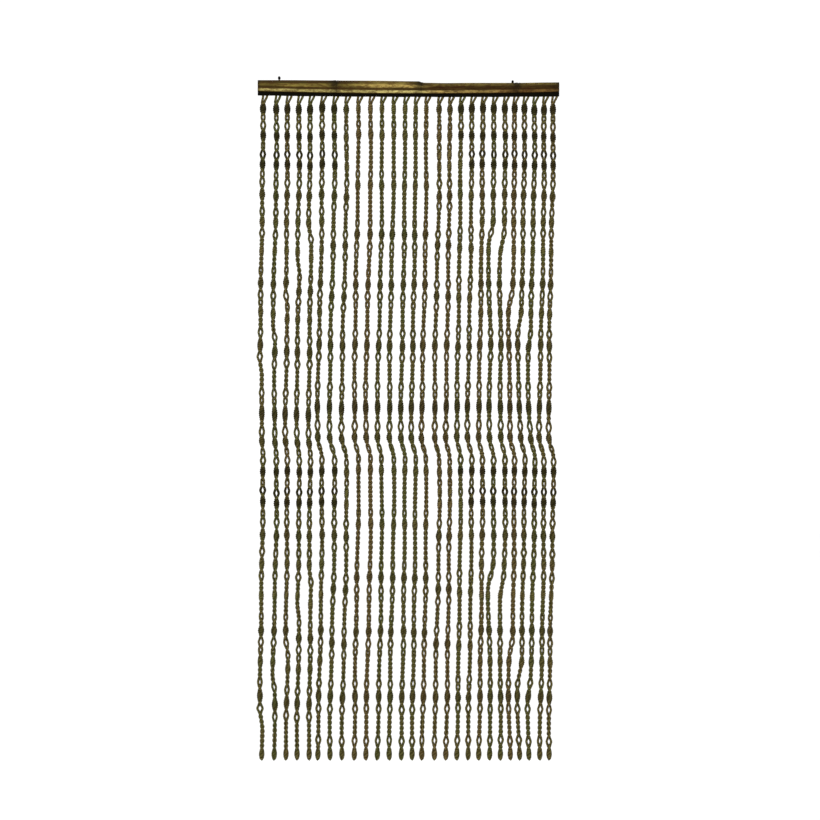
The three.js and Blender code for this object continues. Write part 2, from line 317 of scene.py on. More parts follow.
# Knot and eye at the packing crease, which stand for those of the lower half within the reach.
CREASE_TIES = [
    {"drop": 1021, "tie": "knot", "size": "large"},
    {"drop": 1052, "tie": "eye", "size": "small"},
]
CREASE_REACH = 80.0
CREASE_SLACK_SHARE = 0.7
FLANK_STRANDS = (6, 7, 15, 16)
# Strands that follow the outer rhythm down to a certain drop and another rhythm below it.
CHANGING_STRANDS = {
    6: {"drop": 285, "below": FLANK_RHYTHM},
    17: {"drop": 140, "below": RIGHT_RHYTHM},
    18: {"drop": 285, "below": RIGHT_RHYTHM},
}
CENTRE_STRANDS = tuple(range(8, 15))

# Screw eyes.
EYE_RING_RADIUS = 3.4
EYE_RING_TURN = {"first": -90, "last": 252, "samples": 44}
EYE_WIRE_RADIUS = 2.2
EYE_WIRE_SIDES = 14
EYE_SHANK_DEPTH = 12.0
EYE_SHANK_SAMPLES = 12
# The shank ends a little below the ring, and a bend leads into it in place of its first samples.
EYE_SHANK_END = 1.0
EYE_BEND = {"side": 0.25, "below": 0.35, "samples": 2}
EYE_Y = -8.0
SCREW_EYES = [
    {"node": "screw_eye_left", "x": -386.0, "rail_top": 17.7, "stand": 11.8, "turn": 55.0},
    {"node": "screw_eye_right", "x": 311.0, "rail_top": 9.7, "stand": 8.0, "turn": -66.0},
]

# Cord, in metres: its plies and the distance along it from one ply to the next.
PLIES = 2
PLY_PITCH = 0.0095

# Bands of the rail's colour, in metres: below its crown, or above its foot. The crown's dark band,
# the groove and the foot are painted shade, the bright bead a painted highlight.
CROWN_TO_CHEEK = (0.0075, 0.0145)
GROOVE_TOP = 0.0192
GROOVE_RISE = 0.005
GROOVE_FADE = 0.0045
GROOVE_TO_BEAD = (0.0112, 0.0078)
BEAD_TO_FOOT = (0.003, 0.0005)
SCAR_GROWTH = (0.012, 0.028)
# Where the rail's colour changes along its length, in metres from the middle; the bead's painted
# highlight fades at the far right, and a painted sheen lightens the rail about the middle.
RIGHT_SIDE = (0.02, 0.10)
FAR_RIGHT = (0.16, 0.32)
SHEEN_MIDDLE = -0.035
SHEEN_REACH = (0.15, 0.04)
# Squeeze of the streaks and blotches along the rail, which draws them out.
STREAK_SCALE = (0.05, 1.0, 1.0)
BLOTCH_SCALE = (0.35, 1.0, 1.0)

# Weave of the heading strip, in metres.
RIB_PITCH = 0.0016
PICK_PITCH = 0.0012

# Studio: floor in millimetres, camera in metres.
BACKDROP_STRENGTH = 1.08
FLOOR_HALF = 30000.0
FLOOR_STEPS = 6
FLOOR_BELOW_STRANDS = 400
CAMERA_DISTANCE = 10.0
CAMERA_X = 0.0045
CAMERA_Z = -0.9675
CAMERA_REACH = 200.0
SENSOR_WIDTH = 36.0
VIEW_WIDTH = 2.448


def srgb(red, green, blue):
    """Linear colour with alpha from eight-bit display values."""
    linear = []
    for value in (red, green, blue):
        share = value / 255
        linear.append(share / 12.92 if share <= 0.04045 else ((share + 0.055) / 1.055) ** 2.4)
    return (*linear, 1.0)


# Materials

def set_sockets(tree, node, sockets):
    """Sets each input, by name or number, to a value or links it to another node's output."""
    for key, value in sockets.items():
        socket = node.inputs[key]
        if isinstance(value, bpy.types.NodeSocket):
            tree.links.new(value, socket)
        else:
            socket.default_value = value
    return node


def add_node(tree, kind, sockets, **settings):
    """New shader node with its settings and its sockets filled in."""
    node = tree.nodes.new(kind)
    for name, value in settings.items():
        setattr(node, name, value)
    return set_sockets(tree, node, sockets)


def maths(tree, operation, first, second=0.0, clamp=False):
    node = add_node(tree, "ShaderNodeMath", {0: first, 1: second},
                    operation=operation, use_clamp=clamp)
    return node.outputs[0]


def blend_colour(tree, share, first, second):
    node = add_node(tree, "ShaderNodeMix", {0: share, 6: first, 7: second}, data_type="RGBA")
    return node.outputs[2]


def map_range(tree, value, low, high, to_low=0.0, to_high=1.0):
    node = add_node(tree, "ShaderNodeMapRange",
                    {0: value, 1: low, 2: high, 3: to_low, 4: to_high},
                    interpolation_type="SMOOTHSTEP")
    return node.outputs[0]


def stretched(tree, vector, scale):
    return add_node(tree, "ShaderNodeMapping", {"Vector": vector, "Scale": scale}).outputs[0]


def new_group(name, inputs, outputs):
    """Node group with named float, vector or colour sockets."""
    group = bpy.data.node_groups.new(name, "ShaderNodeTree")
    for socket, kind in inputs:
        group.interface.new_socket(socket, in_out="INPUT", socket_type=kind)
    for socket, kind in outputs:
        group.interface.new_socket(socket, in_out="OUTPUT", socket_type=kind)
    return group, group.nodes.new("NodeGroupInput"), group.nodes.new("NodeGroupOutput")


def make_mottle_group():
    """Blotches and fine specks of aged plant fibre, as two masks."""
    group, source, target = new_group(
        "fibre_mottle",
        [("Vector", "NodeSocketVector"), ("Blotch Scale", "NodeSocketFloat"),
         ("Speck Scale", "NodeSocketFloat")],
        [("Blotch", "NodeSocketFloat"), ("Speck", "NodeSocketFloat")],
    )
    blotch = add_node(group, "ShaderNodeTexNoise", {
        "Vector": source.outputs["Vector"], "Scale": source.outputs["Blotch Scale"],
        "Detail": 4.0, "Roughness": 0.6})
    speck = add_node(group, "ShaderNodeTexNoise", {
        "Vector": source.outputs["Vector"], "Scale": source.outputs["Speck Scale"],
        "Detail": 3.0, "Roughness": 0.7})
    group.links.new(map_range(group, blotch.outputs[0], 0.34, 0.66), target.inputs["Blotch"])
    group.links.new(map_range(group, speck.outputs[0], 0.3, 0.7), target.inputs["Speck"])
    return group


def use_mottle(tree, vector, blotch_scale, speck_scale):
    sockets = {"Vector": vector, "Blotch Scale": blotch_scale, "Speck Scale": speck_scale}
    return add_node(tree, "ShaderNodeGroup", sockets, node_tree=MOTTLE)


def new_material(name):
    material = bpy.data.materials.new(name)
    material.use_nodes = True
    tree = material.node_tree
    return material, tree, tree.nodes["Principled BSDF"]


def mesh_mask(tree, name):
    """Value that the mesh carries under a name."""
    return add_node(tree, "ShaderNodeAttribute", {}, attribute_name=name).outputs["Fac"]


def bump(tree, height, strength, distance):
    sockets = {"Height": height, "Strength": strength, "Distance": distance}
    return add_node(tree, "ShaderNodeBump", sockets).outputs[0]


def make_cord_material():
    """Laid plant-fibre cord: olive to brown from strand to strand, paler on the ply crests from
    wear and a painted highlight, with painted shade in the furrows, and darker with painted shade
    where it is knotted.
    """
    material, tree, shader = new_material("olive_brown_cord")
    place = tree.nodes.new("ShaderNodeTexCoord")
    lay = add_node(tree, "ShaderNodeSeparateXYZ", {0: place.outputs["UV"]})
    around = maths(tree, "MULTIPLY", lay.outputs[0], PLIES * 2 * math.pi)
    along = maths(tree, "MULTIPLY", lay.outputs[1], 2 * math.pi / PLY_PITCH)
    turned = maths(tree, "ADD", around, along)
    ply = map_range(tree, maths(tree, "SINE", turned), -0.9, 0.6)
    mottle = use_mottle(tree, place.outputs["Object"], 22.0, 900.0)
    blotched = maths(tree, "MULTIPLY", mottle.outputs["Blotch"], 0.5)
    shade = maths(tree, "ADD", mesh_mask(tree, "tone"), blotched, clamp=True)
    body = blend_colour(tree, shade, srgb(75, 80, 36), srgb(97, 78, 45))
    # Paler fibre on the ply crests: partly rubbed wear, partly a painted highlight.
    worn_and_highlit = maths(tree, "MULTIPLY", ply, maths(tree, "MULTIPLY", mottle.outputs["Speck"], 0.34))
    fibre = blend_colour(tree, worn_and_highlit, body, srgb(150, 142, 90))
    # Painted shade in the furrows between the plies.
    painted_shade = maths(tree, "MULTIPLY", maths(tree, "SUBTRACT", 1.0, ply), 0.6)
    laid = blend_colour(tree, painted_shade, fibre, srgb(38, 34, 13))
    # Painted shade in knots, twists, eye ends and the legs at the root, carried by the mesh as a
    # mask.
    shade_share = maths(tree, "MULTIPLY", mesh_mask(tree, "tied"), 0.85)
    knot_shaded = blend_colour(tree, shade_share, laid, srgb(22, 18, 6))
    relief = maths(tree, "ADD", ply, maths(tree, "MULTIPLY", mottle.outputs["Speck"], 0.35))
    set_sockets(tree, shader, {
        "Base Color": knot_shaded, "Roughness": 0.92, "Specular IOR Level": 0.06,
        "Normal": bump(tree, relief, 0.8, 0.0009)})
    return material


def make_bamboo_material():
    """Weathered cane: streaked along its length, with painted shade on the crown, in the groove
    and along the foot, a golden painted highlight on the lower bead and a painted sheen about the
    middle.
    """
    material, tree, shader = new_material("weathered_bamboo")
    place = tree.nodes.new("ShaderNodeTexCoord")
    axis = add_node(tree, "ShaderNodeSeparateXYZ", {0: place.outputs["Object"]})
    drawn_out = stretched(tree, place.outputs["Object"], STREAK_SCALE)
    streaks = use_mottle(tree, drawn_out, 120.0, 420.0)
    blotched = stretched(tree, place.outputs["Object"], BLOTCH_SCALE)
    blotches = use_mottle(tree, blotched, 60.0, 170.0)
    hand = map_range(tree, axis.outputs[0], *RIGHT_SIDE)
    far_right = map_range(tree, axis.outputs[0], *FAR_RIGHT)
    # Painted sheen that lightens the crown, the cheek and the bead about the middle of the rail.
    off_middle = maths(tree, "ABSOLUTE", maths(tree, "ADD", axis.outputs[0], -SHEEN_MIDDLE))
    centre_sheen = map_range(tree, off_middle, *SHEEN_REACH)
    level = mesh_mask(tree, "level")
    below_crown = mesh_mask(tree, "below_crown")
    # Painted shade on the dark crown of the left part, lightened by the painted sheen about the
    # middle.
    left_crown = blend_colour(tree, centre_sheen, srgb(38, 32, 10), srgb(130, 114, 56))
    crown = blend_colour(tree, hand, left_crown, srgb(124, 110, 54))
    left_cheek = blend_colour(tree, centre_sheen, srgb(132, 116, 54), srgb(190, 164, 90))
    cheek = blend_colour(tree, hand, left_cheek, srgb(92, 68, 30))
    # Painted shade for the groove and the foot.
    painted_shade = blend_colour(tree, hand, srgb(56, 38, 8), srgb(40, 14, 2))
    # Painted highlight on the lower bead, brightest about the middle and fading at the far right.
    left_bead_highlight = blend_colour(tree, centre_sheen, srgb(192, 178, 108), srgb(226, 210, 132))
    right_bead_highlight = blend_colour(tree, far_right, srgb(206, 176, 102), srgb(112, 82, 42))
    bead = blend_colour(tree, hand, left_bead_highlight, right_bead_highlight)
    groove_top = maths(tree, "ADD", maths(tree, "MULTIPLY", hand, GROOVE_RISE), GROOVE_TOP)
    groove_full = maths(tree, "SUBTRACT", groove_top, GROOVE_FADE)
    above = blend_colour(tree, map_range(tree, below_crown, *CROWN_TO_CHEEK), crown, cheek)
    middle = blend_colour(tree, map_range(tree, level, groove_top, groove_full), above, painted_shade)
    lower = blend_colour(tree, map_range(tree, level, *GROOVE_TO_BEAD), middle, bead)
    # Painted shade along the foot.
    skin = blend_colour(tree, map_range(tree, level, *BEAD_TO_FOOT), lower, painted_shade)
    dark_streak = maths(tree, "MULTIPLY", streaks.outputs["Blotch"], 0.6)
    streaked = blend_colour(tree, dark_streak, skin, srgb(36, 25, 5))
    pale_streak = maths(tree, "MULTIPLY", streaks.outputs["Speck"], 0.12)
    lit = blend_colour(tree, pale_streak, streaked, srgb(168, 142, 66))
    rusty = maths(tree, "MULTIPLY", map_range(tree, blotches.outputs["Speck"], 0.3, 0.85), 0.64)
    rust = blend_colour(tree, hand, srgb(66, 38, 12), srgb(44, 14, 3))
    reddened = blend_colour(tree, rusty, lit, rust)
    patch = maths(tree, "MULTIPLY", blotches.outputs["Blotch"], 0.4)
    aged = blend_colour(tree, patch, reddened, srgb(42, 30, 7))
    growth = map_range(tree, level, *SCAR_GROWTH, 0.6, 1.0)
    stain = maths(tree, "MULTIPLY", mesh_mask(tree, "scar"), growth)
    flecks = map_range(tree, blotches.outputs["Speck"], 0.0, 1.0, 0.88, 1.0)
    broken = maths(tree, "MULTIPLY", stain, flecks)
    scarred = blend_colour(tree, broken, aged, srgb(24, 18, 4))
    set_sockets(tree, shader, {
        "Base Color": scarred,
        "Roughness": map_range(tree, streaks.outputs["Speck"], 0.0, 1.0, 0.7, 0.55),
        "Specular IOR Level": 0.05,
        "Normal": bump(tree, streaks.outputs["Speck"], 0.35, 0.0006)})
    return material


def make_strip_material():
    """Woven heading tape with cross ribs, near black: the tape's own dark and painted shade under
    the rail.
    """
    material, tree, shader = new_material("heading_tape_painted_shade")
    place = tree.nodes.new("ShaderNodeTexCoord")
    axis = add_node(tree, "ShaderNodeSeparateXYZ", {0: place.outputs["Object"]})
    rib = maths(tree, "SINE", maths(tree, "MULTIPLY", axis.outputs[0], 2 * math.pi / RIB_PITCH))
    pick = maths(tree, "SINE", maths(tree, "MULTIPLY", axis.outputs[2], 2 * math.pi / PICK_PITCH))
    weave = map_range(tree, maths(tree, "MULTIPLY", rib, pick), -0.8, 0.8)
    mottle = use_mottle(tree, place.outputs["Object"], 30.0, 700.0)
    # Near-black base: the tape's dark colour, which also stands in as painted shade under the
    # rail.
    base = blend_colour(tree, mottle.outputs["Blotch"], srgb(5, 4, 1), srgb(10, 7, 2))
    woven = blend_colour(tree, maths(tree, "MULTIPLY", weave, 0.3), base, srgb(20, 15, 6))
    set_sockets(tree, shader, {
        "Base Color": woven, "Roughness": 0.9, "Specular IOR Level": 0.05,
        "Normal": bump(tree, weave, 0.5, 0.0005)})
    return material


def make_steel_material():
    """Black lacquered wire with rubbed, browner spots."""
    material, tree, shader = new_material("black_lacquered_wire")
    place = tree.nodes.new("ShaderNodeTexCoord")
    mottle = use_mottle(tree, place.outputs["Object"], 160.0, 900.0)
    rubbed = maths(tree, "MULTIPLY", mottle.outputs["Blotch"], mottle.outputs["Speck"])
    lacquer = blend_colour(tree, rubbed, srgb(4, 4, 3), srgb(16, 13, 9))
    set_sockets(tree, shader, {
        "Base Color": lacquer,
        "Roughness": map_range(tree, rubbed, 0.0, 1.0, 0.6, 0.8),
        "Specular IOR Level": 0.08,
        "Normal": bump(tree, mottle.outputs["Speck"], 0.15, 0.0002)})
    return material


def make_floor_material():
    """White floor with hardly visible clouds."""
    material, tree, shader = new_material("pale_floor")
    place = tree.nodes.new("ShaderNodeTexCoord")
    mottle = use_mottle(tree, place.outputs["Object"], 0.6, 40.0)
    pale = blend_colour(tree, mottle.outputs["Blotch"], srgb(252, 252, 251), srgb(250, 250, 249))
    set_sockets(tree, shader, {"Base Color": pale, "Roughness": 0.9, "Specular IOR Level": 0.1})
    return material


MOTTLE = make_mottle_group()
CORD_FINISH = make_cord_material()
BAMBOO_FINISH = make_bamboo_material()
STRIP_FINISH = make_strip_material()
STEEL_FINISH = make_steel_material()
FLOOR_FINISH = make_floor_material()


# Meshes

def make_piece(name, points, faces, material, uvs=None, masks=None):
    """Smooth-shaded object from arrays: points in millimetres, faces as lists of point numbers."""
    mesh = bpy.data.meshes.new(name)
    mesh.from_pydata((np.asarray(points) * MM).tolist(), [], faces)
    mesh.polygons.foreach_set("use_smooth", np.ones(len(mesh.polygons), dtype=bool))
    if uvs is not None:
        corners = np.asarray(uvs, dtype=np.float32).ravel()
        mesh.uv_layers.new(name="lay").data.foreach_set("uv", corners)
    for mask, values in (masks or {}).items():
        layer = mesh.attributes.new(mask, "FLOAT", "POINT")
        layer.data.foreach_set("value", np.asarray(values, dtype=np.float32))
    mesh.materials.append(material)
    mesh.update()
    piece = bpy.data.objects.new(name, mesh)
    bpy.context.collection.objects.link(piece)
    return piece


def unit(vectors):
    return vectors / np.linalg.norm(vectors, axis=1, keepdims=True)


def tube(path, outward, radii, sides):
    """Round tube along a path: points, faces and a lay of around and along on each face corner.

    Outward is any direction across the path at each point, which the first side faces.
    """
    tangent = unit(np.gradient(path, axis=0))
    across = unit(outward - np.sum(outward * tangent, axis=1, keepdims=True) * tangent)
    beside = np.cross(tangent, across)
    turn = np.linspace(0, 2 * math.pi, sides, endpoint=False)[None, :, None]
    ring = np.cos(turn) * across[:, None] + np.sin(turn) * beside[:, None]
    points = path[:, None] + np.asarray(radii)[:, None, None] * ring
    length = np.concatenate([[0], np.cumsum(np.linalg.norm(np.diff(path, axis=0), axis=1))]) * MM
    count = len(path)
    row = np.arange(count - 1)[:, None]
    side = np.arange(sides)[None, :]
    after = (side + 1) % sides
    near = row * sides
    far = near + sides
    quads = np.stack([near + side, near + after, far + after, far + side], axis=2).reshape(-1, 4)
    left = np.broadcast_to(side / sides, (count - 1, sides))
    right = np.broadcast_to((side + 1) / sides, (count - 1, sides))
    start = np.broadcast_to(length[:-1, None], (count - 1, sides))
    stop = np.broadcast_to(length[1:, None], (count - 1, sides))
    lay = np.stack([left, start, right, start, right, stop, left, stop], axis=2).reshape(-1, 2)
    caps = [list(range(sides - 1, -1, -1)), list(range((count - 1) * sides, count * sides))]
    cap_lay = [[0.5, 0.0]] * sides + [[0.5, length[-1]]] * sides
    return points.reshape(-1, 3), quads.tolist() + caps, lay.tolist() + cap_lay


def prism_faces(rows, count):
    """Faces of a closed prism from rows of points, each going once round its outline."""
    faces = []
    for row in range(rows - 1):
        near = row * count
        far = near + count
        for side in range(count):
            after = (side + 1) % count
            faces.append([near + side, near + after, far + after, far + side])
    faces.append(list(range(count))[::-1])
    faces.append(list(range((rows - 1) * count, rows * count)))
    return faces


def smooth_step(value):
    share = np.clip(value, 0.0, 1.0)
    return share * share * (3 - 2 * share)


def bow(line, x):
    """How far a bowed edge hangs below the level of its ends."""
    return line["depth"] * (1 - ((x - line["middle"]) / line["reach"]) ** 2)


def waviness(rows, along, starts):
    """Sum of slow waves along a piece, each with its own start."""
    return sum(row["reach"] * np.sin(along / row["length"] + start)
               for row, start in zip(rows, starts))


# Strands

def strand_roots():
    """Places of the strands along the rail, from left to right."""
    roots = [FIRST_STRAND]
    for row in STRAND_SPACING:
        for _ in range(row["gaps"]):
            roots.append(roots[-1] + row["pitch"])
    return roots


def in_half_of(drop):
    """Place in the rhythm of the half that a drop lies in."""
    return np.where(drop > LOWER_HALF, (drop - LOWER_HALF) / LOWER_STRETCH, drop)


def gathered(in_half, number):
    """How far the gather of the strands at the left edge has come, from 0 to 1."""
    if number >= GATHERED_STRANDS:
        return np.zeros_like(in_half)
    return smooth_step((in_half - GATHER_LOWEST + GATHER_RISE * number) / GATHER_HEIGHT)


def sideways_lie(drop, number):
    """How far a strand hangs to the side of its root, at each drop below the strip."""
    in_half = in_half_of(drop)
    gather = GATHER if number < GATHERED_STRANDS else 0.0
    drift = -DRIFT * smooth_step((in_half - DRIFT_START) / (LOWER_HALF - DRIFT_START))
    eased = smooth_step((in_half - CREASE_START) / CREASE_HEIGHT)
    kept = np.where(drop > LOWER_HALF, 1 - eased, 0.0)
    lean = np.zeros_like(in_half)
    for row in LEANING_STRANDS:
        if row["strand"] == number:
            back = row["drop"] + LEAN_HEIGHT
            lean = -row["step"] * (smooth_step((in_half - row["drop"]) / LEAN_HEIGHT)
                                   - smooth_step((in_half - back) / LEAN_RETURN))
    return drift + GATHER * gathered(in_half, number) + lean + kept * (gather - DRIFT)


def strand_rhythm(number):
    """Rows of knots and eyes that a strand follows in each half."""
    if number in CHANGING_STRANDS:
        change = CHANGING_STRANDS[number]
        return ([row for row in OUTER_RHYTHM if row["drop"] < change["drop"]]
                + [row for row in change["below"] if row["drop"] > change["drop"]])
    if number in FLANK_STRANDS:
        return FLANK_RHYTHM
    if number in CENTRE_STRANDS:
        return CENTRE_RHYTHM
    return OUTER_RHYTHM


def placed(tie, drop, sizes):
    """Knot or eye with its sizes and the drops at which it starts and ends."""
    return {"tie": tie, "start": drop - sizes["half"], "end": drop + sizes["half"], **sizes}


def strand_ties(number, chance):
    """Knots and eyes of one strand from top to bottom, each with its start and end."""
    upper = []
    for row in strand_rhythm(number):
        slack = GATHER_SLACK * float(gathered(np.asarray(row["drop"]), number))
        upper.append((row["drop"] + slack, row))
    crease_slack = CREASE_SLACK_SHARE * GATHER_SLACK if number < GATHERED_STRANDS else 0.0
    crease = [(row["drop"] + crease_slack, row) for row in CREASE_TIES]
    lower = [(LOWER_HALF + LOWER_STRETCH * drop, row)
             for drop, row in upper if drop > CREASE_REACH]
    shift = chance.normal(0, STRAND_SHIFT)
    ties = []
    for drop, row in upper + crease + lower:
        sizes = KNOTS[row["size"]] if row["tie"] == "knot" else EYES[row["size"]]
        drop = drop + shift + chance.normal(0, TIE_SHIFT)
        if drop + sizes["half"] < STRAND_LENGTH - 2 * END_KNOT_HEIGHT:
            ties.append(placed(row["tie"], drop, sizes))
    ties.append(placed("knot", STRAND_LENGTH - END_KNOT_HEIGHT, KNOTS["middling"]))
    ties[0]["start"] = max(ties[0]["start"], LEG_END)
    for above, below in zip(ties, ties[1:]):
        if below["start"] - above["end"] < CROSSING_LENGTH:
            middle = (below["start"] + above["end"]) / 2
            above["end"] = middle - CROSSING_LENGTH / 2
            below["start"] = middle + CROSSING_LENGTH / 2
    return ties


def run_cords(number, root, chance):
    """Courses of the two cords of a strand, as arrays with a value for every sample.

    They are the drop, the distance from the strand's axis, the angle about it, the painted shade
    of the cord where it is knotted, twisted and crowded, and its girth as a share of the full one.
    """
    hand = 1 if chance.random() < 0.5 else -1
    close = CORD_APART
    through = {"drop": [], "out": [], "angle": [], "tied": [], "girth": []}
    wrapping = {"drop": [], "out": [], "angle": [], "tied": [], "girth": []}
    angle = {"through": math.pi, "wrapping": 0.0}

    def lay(cord, drop, out, turned, tied, girth=1.0):
        cord["drop"].extend(drop)
        cord["out"].extend(np.broadcast_to(out, drop.shape))
        cord["angle"].extend(np.broadcast_to(turned, drop.shape))
        cord["tied"].extend(np.broadcast_to(tied, drop.shape))
        cord["girth"].extend(np.broadcast_to(girth, drop.shape))

    def twist(start, end):
        span = end - start
        half_turns = max(1, round(span / HALF_TURN_LENGTH)) if span > SHORTEST_TURN else 0
        count = max(FEWEST_TWIST_SAMPLES, math.ceil(span / TWIST_SAMPLE_LENGTH),
                    half_turns * HALF_TURN_SAMPLES)
        share = np.linspace(0, 1, count, endpoint=False)
        drop = start + share * span
        turn = hand * half_turns * math.pi
        lay(through, drop, close, angle["through"] + share * turn, TWIST_DARK)
        lay(wrapping, drop, close, angle["wrapping"] + share * turn, TWIST_DARK)
        angle["through"] += turn
        angle["wrapping"] += turn

    top = float(bow(STRIP_BOW, root + LEG_SHIFT))
    legs = np.linspace(top - LEG_IN_STRIP, LEG_END, LEG_SAMPLES, endpoint=False)
    apart = 1 - smooth_step((legs - top) / (LEG_END - top))
    parting = close + (LEG_SHIFT - close) * apart
    lay(through, legs, parting, angle["through"], LEG_DARK, LEG_GIRTH)
    lay(wrapping, legs, parting, angle["wrapping"], LEG_DARK, LEG_GIRTH)
    below = LEG_END
    for tie in strand_ties(number, chance):
        if tie["start"] > below + SHORTEST_TWIST:
            twist(below, tie["start"])
        span = tie["end"] - tie["start"]
        if tie["tie"] == "eye":
            share = np.linspace(0, 1, EYE_SAMPLES, endpoint=False)
            drop = tie["start"] + share * span
            parting = tie["parting"] * (1 + chance.normal(0, PARTING_SPREAD))
            opening = np.sin(math.pi * share) ** EYE_POWER
            out = close + (parting - close) * opening
            girth = 1 - (1 - tie["girth"]) * opening
            # The ends of an eye, where its cords close together, take painted shade.
            ends = max(EYE_END_DARK, tie["dark"])
            shade_share = ends + (tie["dark"] - ends) * opening
            lay(through, drop, out, angle["through"], shade_share, girth)
            lay(wrapping, drop, out, angle["wrapping"], shade_share, girth)
        else:
            turns = tie["turns"]
            share = np.linspace(0, 1, turns * WRAP_SAMPLES, endpoint=False)
            swell = np.sin(math.pi * share) ** KNOT_POWER
            firmness = np.sin(math.pi * share) ** FIRM_POWER
            # Painted shade of the knot, deepest about its middle.
            knot_shade = tie["dark"] * (KNOT_END_SHARE + (1 - KNOT_END_SHARE) * firmness)
            drop = tie["start"] + share * span
            turn = hand * 2 * math.pi * turns
            out = close + (tie["wrap"] - close) * swell
            lay(wrapping, drop, out, angle["wrapping"] + share * turn, knot_shade)
            angle["wrapping"] += turn
            few = np.linspace(0, 1, THROUGH_SAMPLES, endpoint=False)
            inner = close * (1 - THROUGH_PULL * np.sin(math.pi * few) ** FIRM_POWER)
            lay(through, tie["start"] + few * span, inner, angle["through"], tie["dark"])
        below = tie["end"]
    twist(below, STRAND_LENGTH)
    return [{key: np.asarray(values) for key, values in cord.items()}
            for cord in (through, wrapping)]


def make_strand(number, root, total):
    """One strand: its two cords as tubes in a single piece."""
    chance = np.random.default_rng(FIRST_SEED + number)
    waves = chance.uniform(0, 2 * math.pi, 4)
    points, faces, lay, tied = [], [], [], []
    for cord in run_cords(number, root, chance):
        drop = cord["drop"]
        shift = LEG_SHIFT * (1 - smooth_step(drop / LEG_HEIGHT))
        lie = sideways_lie(np.maximum(drop, 0), number)
        freed = smooth_step(drop / SWAY_START)
        axis = np.stack([
            root + shift + lie + freed * waviness(SWAY_SIDEWAYS, drop, waves[:2]),
            STRAND_Y + freed * waviness(SWAY_OUTWARD, drop, waves[2:]),
            STRIP_UNDERSIDE - drop,
        ], axis=1)
        angle = cord["angle"]
        radial = np.stack([np.cos(angle), np.sin(angle), np.zeros_like(drop)], axis=1)
        uneven = CORD_UNEVENNESS["share"] * np.sin(drop / CORD_UNEVENNESS["length"] + waves[1])
        radii = CORD_RADIUS * cord["girth"] * (1 + uneven)
        path = axis + cord["out"][:, None] * radial
        tube_points, tube_faces, tube_lay = tube(path, radial, radii, CORD_SIDES)
        base = sum(len(part) for part in points)
        points.append(tube_points)
        faces.extend([[base + corner for corner in face] for face in tube_faces])
        lay.extend(tube_lay)
        tied.append(np.repeat(cord["tied"], CORD_SIDES))
    points = np.concatenate(points)
    from_middle = abs(2 * number / (total - 1) - 1)
    chance_tone = chance.normal(0, TONE_SPREAD)
    tone = np.clip(MIDDLE_TONE - EDGE_TONE_LOSS * from_middle + chance_tone, 0, 1)
    # The strand carries its tone and the painted shade of its cords as masks.
    strand = make_piece(
        f"strand_{number + 1:02d}", points, faces, CORD_FINISH, uvs=lay,
        masks={"tone": np.full(len(points), tone), "tied": np.concatenate(tied)},
    )
    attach(strand, "root")
    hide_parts("strand_row")


# Heading strip

def make_heading_strip():
    """Flat tape with rounded edges, slightly wavy along its lower edge."""
    back = STRIP_BACK - STRIP_ROUNDING
    front = STRIP_FRONT + STRIP_ROUNDING
    top = STRIP_TOP - STRIP_ROUNDING
    underside = STRIP_UNDERSIDE + STRIP_ROUNDING
    corners = [(back, top, 0), (front, top, 90), (front, underside, 180), (back, underside, 270)]
    outline = []
    for y, z, first in corners:
        for step in range(STRIP_CORNER_STEPS + 1):
            turn = math.radians(first + 90 * step / STRIP_CORNER_STEPS)
            outline.append((y + STRIP_ROUNDING * math.cos(turn),
                            z + STRIP_ROUNDING * math.sin(turn)))
    outline = np.asarray(outline)
    lower = outline[:, 1] < (STRIP_TOP + STRIP_UNDERSIDE) / 2
    stations = np.linspace(-RAIL_LENGTH / 2, RAIL_LENGTH / 2, STRIP_STATIONS)
    points = []
    for x in stations:
        wave = waviness(STRIP_WAVES, x, STRIP_WAVE_STARTS)
        z = outline[:, 1] - np.where(lower, bow(STRIP_BOW, x) - wave, bow(RAIL_BOW, x))
        points.append(np.stack([np.full(len(outline), x), outline[:, 0], z], axis=1))
    faces = prism_faces(len(stations), len(outline))
    strip = make_piece("heading_strip", np.concatenate(points), faces, STRIP_FINISH)
    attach(strip, "root")
    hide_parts("strand_row")


# Bamboo rail

def rounded(outline, times):
    """Cuts the corners of an open outline, keeping its two ends."""
    for _ in range(times):
        near = 0.75 * outline[:-1] + 0.25 * outline[1:]
        far = 0.25 * outline[:-1] + 0.75 * outline[1:]
        cut = np.stack([near, far], axis=1).reshape(-1, 2)
        outline = np.concatenate([outline[:1], cut[1:-1], outline[-1:]])
    return outline


def cane_section(crown, depth, foot, swelling):
    """Outline of the cane as y and z, from the top of its flat back over the front to its foot."""
    deep = depth + swelling
    high = crown + CROWN_SWELLING * swelling
    bead = foot + BEAD_HEIGHT
    top = [(0, high - 3.5), (-5, high - 0.4), (-10, high + 0.2)]
    cheek = [
        (-0.72 * deep, high - 2.0), (-0.91 * deep, high - 6.2), (-deep, (crown + foot) / 2 + 4),
    ]
    groove = [
        (-deep - 0.1, bead + GROOVE_WIDTH + 1.5), (-deep + 2.0, bead + 0.7 * GROOVE_WIDTH),
        (-deep + 2.6, bead + 0.2 * GROOVE_WIDTH), (-deep - 0.1, bead - 0.6),
    ]
    lower_bead = [(-deep - 0.8, foot + 5.2), (-deep + 1.0, foot + 1.6), (-deep + 4.6, foot)]
    front = np.asarray(top + cheek + groove + lower_bead)
    return np.concatenate([rounded(front, times=2), [(0, foot)]])


def ring_at(ring, away):
    """Height of a bell-shaped ring at a distance along the rail."""
    return ring["height"] * math.exp(-((away - ring["at"]) / ring["width"]) ** 2)


